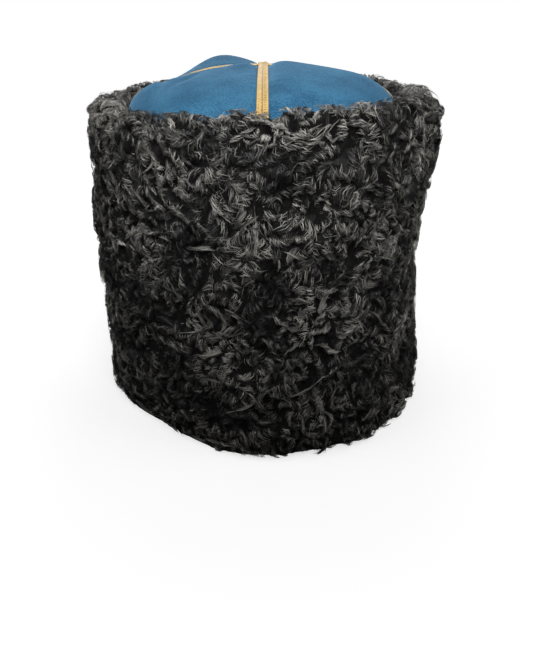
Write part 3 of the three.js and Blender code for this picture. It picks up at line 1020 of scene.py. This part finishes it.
def set_sockets(node, values):
    """Sets a node's own sockets, named with underscores for their spaces."""
    for label, value in values.items():
        node.inputs[label.replace("_", " ")].default_value = value


def add_node(nodes, kind, **values):
    """A new node with its own sockets set."""
    node = nodes.new(kind)
    set_sockets(node, values)
    return node


def tone_ramp(nodes, *stops):
    """A colour ramp through the given places and colours, from the first to the last."""
    ramp = nodes.new("ShaderNodeValToRGB")
    first, *between, last = stops
    for element, (place, colour) in zip(ramp.color_ramp.elements, (first, last)):
        element.position = place
        element.color = colour
    for place, colour in between:
        ramp.color_ramp.elements.new(place).color = colour
    return ramp


def multiplied(nodes, links, first, second):
    """The product of two colours."""
    shade = nodes.new("ShaderNodeMix")
    shade.data_type = "RGBA"
    shade.blend_type = "MULTIPLY"
    shade.inputs["Factor"].default_value = 1.0
    links.new(first, shade.inputs["A"])
    links.new(second, shade.inputs["B"])
    return shade.outputs["Result"]


def fibre_mottle():
    """Cloudy colour with fine fibres over it, for cloth and for thread."""
    group, given, made = socket_group(
        "fibre_mottle",
        [
            ("Dark", "NodeSocketColor", grey(0.1)),
            ("Light", "NodeSocketColor", grey(0.3)),
            ("Fibre Scale", "NodeSocketFloat", 900.0),
            ("Cloud Scale", "NodeSocketFloat", 40.0),
        ],
        [("Color", "NodeSocketColor"), ("Height", "NodeSocketFloat")],
    )
    nodes, links = group.nodes, group.links
    place = nodes.new("ShaderNodeTexCoord")
    fibre = add_node(nodes, "ShaderNodeTexNoise", Detail=3, Distortion=0.6)
    cloud = add_node(nodes, "ShaderNodeTexNoise", Detail=2)
    blend = nodes.new("ShaderNodeMath")
    blend.operation = "MULTIPLY_ADD"
    blend.inputs[1].default_value = 0.4
    spread = add_node(nodes, "ShaderNodeMapRange", From_Min=0.56, From_Max=0.84)
    colour = nodes.new("ShaderNodeMix")
    colour.data_type = "RGBA"
    links.new(place.outputs["Object"], fibre.inputs["Vector"])
    links.new(place.outputs["Object"], cloud.inputs["Vector"])
    links.new(given.outputs["Fibre Scale"], fibre.inputs["Scale"])
    links.new(given.outputs["Cloud Scale"], cloud.inputs["Scale"])
    links.new(cloud.outputs["Fac"], blend.inputs[0])
    links.new(fibre.outputs["Fac"], blend.inputs[2])
    links.new(blend.outputs["Value"], spread.inputs["Value"])
    links.new(spread.outputs["Result"], colour.inputs["Factor"])
    links.new(given.outputs["Dark"], colour.inputs["A"])
    links.new(given.outputs["Light"], colour.inputs["B"])
    links.new(colour.outputs["Result"], made.inputs["Color"])
    links.new(fibre.outputs["Fac"], made.inputs["Height"])
    return group


def shared_mottle():
    """The fibre group, made once."""
    return bpy.data.node_groups.get("fibre_mottle") or fibre_mottle()


def plain_material(name, **values):
    """A material with its Principled shader's own sockets set."""
    material = bpy.data.materials.new(name)
    material.use_nodes = True
    shader = material.node_tree.nodes["Principled BSDF"]
    set_sockets(shader, values)
    return material, material.node_tree.nodes, material.node_tree.links, shader


def mottled(name, dark, light, fibre_scale, cloud_scale, depth, **values):
    """A fibrous material whose colour and fine relief come from the shared group."""
    material, nodes, links, shader = plain_material(name, **values)
    mottle = nodes.new("ShaderNodeGroup")
    mottle.node_tree = shared_mottle()
    set_sockets(mottle, {"Dark": with_alpha(dark), "Light": with_alpha(light)})
    set_sockets(mottle, {"Fibre Scale": fibre_scale, "Cloud Scale": cloud_scale})
    bump = add_node(nodes, "ShaderNodeBump", Distance=depth, Strength=1.0)
    links.new(mottle.outputs["Color"], shader.inputs["Base Color"])
    links.new(mottle.outputs["Height"], bump.inputs["Height"])
    links.new(bump.outputs["Normal"], shader.inputs["Normal"])
    return material, nodes, links, shader


def cloth_material(colours):
    """Blue wool cloth, with a soft sheen of its own blue where it is seen at a slant."""
    values = {
        "Roughness": 0.95,
        "Specular_IOR_Level": 0.2,
        "Sheen_Weight": 0.5,
        "Sheen_Roughness": 0.3,
        "Sheen_Tint": (0.3, 0.62, 0.95, 1),
    }
    return mottled("blue_wool", colours.cloth, colours.cloth_nap, 1600, 60, 0.0002, **values)[0]


def gold_material(colours):
    """Gold thread, with painted shade in the hollows between the raised threads of the weave."""
    values = {"Roughness": 0.45, "Metallic": 0.2}
    material, nodes, links, shader = mottled(
        "gold_thread", colours.gold_shade, colours.gold, 2600, 200, 0.0001, **values
    )
    raised = nodes.new("ShaderNodeAttribute")
    raised.attribute_name = "raised"
    # Painted shade: where the weave lies low, its colour is darkened to about a seventh
    tones = tone_ramp(nodes, (0, (0.14, 0.1, 0.06, 1)), (0.62, grey(1)))
    links.new(raised.outputs["Fac"], tones.inputs["Fac"])
    mottle = shader.inputs["Base Color"].links[0].from_socket
    links.new(multiplied(nodes, links, mottle, tones.outputs["Color"]), shader.inputs["Base Color"])
    return material


def hair_material(colours):
    """Black hair, each with its own tone, with a painted highlight towards the middle of its length, where
    it arcs over its roll, and painted shade at its root.
    """
    material, nodes, links, shader = plain_material("karakul_hair", Roughness=0.33, IOR=1.65)
    place = nodes.new("ShaderNodeUVMap")
    place.uv_map = BAKE_MAP
    split = nodes.new("ShaderNodeSeparateXYZ")
    tones = tone_ramp(nodes, (0.32, with_alpha(colours.hair_dark)), (0.95, with_alpha(colours.hair_light)))
    # Painted shade and painted highlight along each hair: dark at the root by the pelt, brightest
    # mid-length on the crest of its arc
    length = tone_ramp(nodes, (0, grey(0.25)), (0.5, grey(1)), (1, grey(0.7)))
    links.new(place.outputs["UV"], split.inputs["Vector"])
    links.new(split.outputs["X"], tones.inputs["Fac"])
    links.new(split.outputs["Y"], length.inputs["Fac"])
    shade = multiplied(nodes, links, tones.outputs["Color"], length.outputs["Color"])
    links.new(shade, shader.inputs["Base Color"])
    return material


def pelt_material(colours):
    """The hair under the loose ones: streaks that run over each roll as its hairs do."""
    values = {"Roughness": 0.6, "Specular_IOR_Level": 0.1}
    material, nodes, links, shader = plain_material("karakul_pelt", **values)
    lay = nodes.new("ShaderNodeAttribute")
    lay.attribute_name = "lay"
    streaks = add_node(nodes, "ShaderNodeTexNoise", Scale=1100, Detail=1, Roughness=0.6)
    tones = tone_ramp(nodes, (0.38, with_alpha(colours.hair_dark)), (0.7, with_alpha(colours.pelt)))
    bump = add_node(nodes, "ShaderNodeBump", Distance=0.0012)
    links.new(lay.outputs["Vector"], streaks.inputs["Vector"])
    links.new(streaks.outputs["Fac"], tones.inputs["Fac"])
    links.new(streaks.outputs["Fac"], bump.inputs["Height"])
    links.new(tones.outputs["Color"], shader.inputs["Base Color"])
    links.new(bump.outputs["Normal"], shader.inputs["Normal"])
    return material


def dress(piece, material, node):
    """Gives a piece its material, hangs it on the root and hides the part that it stands for."""
    piece.data.materials.append(material)
    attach(piece, "root")
    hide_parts(node)


# The stage


def camera_ray_mix(links, nodes, seen, otherwise, output):
    """Shows one shader to the camera and lights the hat by the other."""
    path = nodes.new("ShaderNodeLightPath")
    mix = nodes.new("ShaderNodeMixShader")
    links.new(path.outputs["Is Camera Ray"], mix.inputs["Fac"])
    links.new(otherwise.outputs[0], mix.inputs[1])
    links.new(seen.outputs[0], mix.inputs[2])
    links.new(mix.outputs["Shader"], output)


def make_floor():
    """A pale floor with a painted contact shadow: its glow, seen only by the camera, is dimmer close to the
    hat.
    """
    corners = np.array([[-1, -1, 0], [1, -1, 0], [1, 1, 0], [-1, 1, 0]]) * FLOOR_HALF
    map_corners = np.array([[[0, 0], [1, 0], [1, 1], [0, 1]]])
    floor = mesh_object("floor", corners, [np.array([[0, 1, 2, 3]])], [map_corners])
    values = {"Base_Color": grey(0.5), "Roughness": 0.9, "Specular_IOR_Level": 0.0}
    values["Emission_Color"] = grey(1)
    pale, nodes, links, shader = plain_material("pale_floor", **values)
    place = nodes.new("ShaderNodeTexCoord")
    away = nodes.new("ShaderNodeVectorMath")
    away.operation = "LENGTH"
    # Painted shadow: the floor's glow rises from dim near the hat to full further out
    painted_contact_shadow = add_node(nodes, "ShaderNodeMapRange", From_Min=0.11, From_Max=0.3, To_Min=0.68, To_Max=1.0)
    links.new(place.outputs["Object"], away.inputs[0])
    links.new(away.outputs["Value"], painted_contact_shadow.inputs["Value"])
    links.new(painted_contact_shadow.outputs["Result"], shader.inputs["Emission Strength"])
    dim = add_node(nodes, "ShaderNodeBsdfDiffuse", Color=grey(0.06))
    camera_ray_mix(links, nodes, shader, dim, nodes["Material Output"].inputs["Surface"])
    floor.data.materials.append(pale)


def make_surround():
    """A white surround that lights the hat only faintly."""
    world = bpy.data.worlds.new("white_surround")
    world.use_nodes = True
    nodes, links = world.node_tree.nodes, world.node_tree.links
    seen = nodes["Background"]
    glow = nodes.new("ShaderNodeBackground")
    for background, strength in ((seen, 1.0), (glow, SURROUND_GLOW)):
        set_sockets(background, {"Color": grey(1), "Strength": strength})
    camera_ray_mix(links, nodes, seen, glow, nodes["World Output"].inputs["Surface"])
    bpy.context.scene.world = world


def make_light(row):
    """A soft square light at its place, turned towards its aim."""
    data = bpy.data.lights.new(row["name"], "AREA")
    data.shape = "SQUARE"
    data.size = row["size"]
    data.energy = row["energy"]
    data.spread = math.radians(row["spread"])
    light = bpy.data.objects.new(row["name"], data)
    light.location = row["place"]
    light.rotation_euler = (Vector(row["aim"]) - light.location).to_track_quat("-Z", "Y").to_euler()
    bpy.context.scene.collection.objects.link(light)


def make_camera():
    """The camera at the photograph's angle."""
    scene = bpy.context.scene
    lens = bpy.data.cameras.new("photo_camera")
    lens.lens = CAMERA_LENS
    lens.sensor_width = CAMERA_SENSOR
    camera = bpy.data.objects.new("photo_camera", lens)
    camera.location = CAMERA_PLACE
    camera.rotation_euler = (math.radians(CAMERA_TILT), 0, 0)
    scene.collection.objects.link(camera)
    scene.camera = camera
    scene.view_settings.view_transform = "Standard"


# Operators


class HAT_OT_fur(bpy.types.Operator):
    """Makes the fur wall: the pelt and its curls"""

    bl_idname = "hat.fur"
    bl_label = "Make the fur"

    def execute(self, context):
        scene = context.scene
        form = HatForm(scene.hat_sizes)
        curls = make_curls(form, scene.fur_sizes, hair_material(scene.hat_colours))
        make_pelt(form, curls, pelt_material(scene.hat_colours))
        return {"FINISHED"}


class HAT_OT_crown(bpy.types.Operator):
    """Makes the blue cloth crown"""

    bl_idname = "hat.crown"
    bl_label = "Make the crown"

    def execute(self, context):
        scene = context.scene
        make_crown(HatForm(scene.hat_sizes), cloth_material(scene.hat_colours))
        return {"FINISHED"}


class HAT_OT_galloons(bpy.types.Operator):
    """Makes the two crossed gold galloons"""

    bl_idname = "hat.galloons"
    bl_label = "Make the galloons"

    def execute(self, context):
        form = HatForm(context.scene.hat_sizes)
        gold = gold_material(context.scene.hat_colours)
        make_galloon(form, "galloon_across", "galloon_side_to_side", True, 0.0, gold)
        lift = form.galloon_thickness + form.gap
        make_galloon(form, "galloon_along", "galloon_front_to_back", False, lift, gold)
        return {"FINISHED"}


class HAT_OT_stage(bpy.types.Operator):
    """Makes the floor, the lights, the surround and the camera"""

    bl_idname = "hat.stage"
    bl_label = "Make the stage"

    def execute(self, context):
        make_floor()
        make_surround()
        for row in LIGHTS:
            make_light(row)
        make_camera()
        return {"FINISHED"}


class HAT_PT_sidebar(bpy.types.Panel):
    """Lists the hat's pieces in the sidebar"""

    bl_idname = "HAT_PT_sidebar"
    bl_label = "Karakul Hat"
    bl_space_type = "VIEW_3D"
    bl_region_type = "UI"
    bl_category = "Karakul Hat"

    def draw(self, context):
        for operator in OPERATORS:
            self.layout.operator(operator.bl_idname)


OPERATORS = (HAT_OT_stage, HAT_OT_fur, HAT_OT_crown, HAT_OT_galloons)
CLASSES = (HatSizes, FurSizes, HatColours, *OPERATORS, HAT_PT_sidebar)


def register():
    """Registers the classes and hangs the sizes and colours on the scene."""
    for cls in CLASSES:
        bpy.utils.register_class(cls)
    bpy.types.Scene.hat_sizes = PointerProperty(type=HatSizes)
    bpy.types.Scene.fur_sizes = PointerProperty(type=FurSizes)
    bpy.types.Scene.hat_colours = PointerProperty(type=HatColours)


def unregister():
    """Takes the sizes, the colours and the classes away again."""
    del bpy.types.Scene.hat_colours
    del bpy.types.Scene.fur_sizes
    del bpy.types.Scene.hat_sizes
    for cls in reversed(CLASSES):
        bpy.utils.unregister_class(cls)


def main():
    """Makes the stage and every piece."""
    register()
    bpy.ops.hat.stage()
    bpy.ops.hat.fur()
    bpy.ops.hat.crown()
    bpy.ops.hat.galloons()


if __name__ == "__main__":
    main()
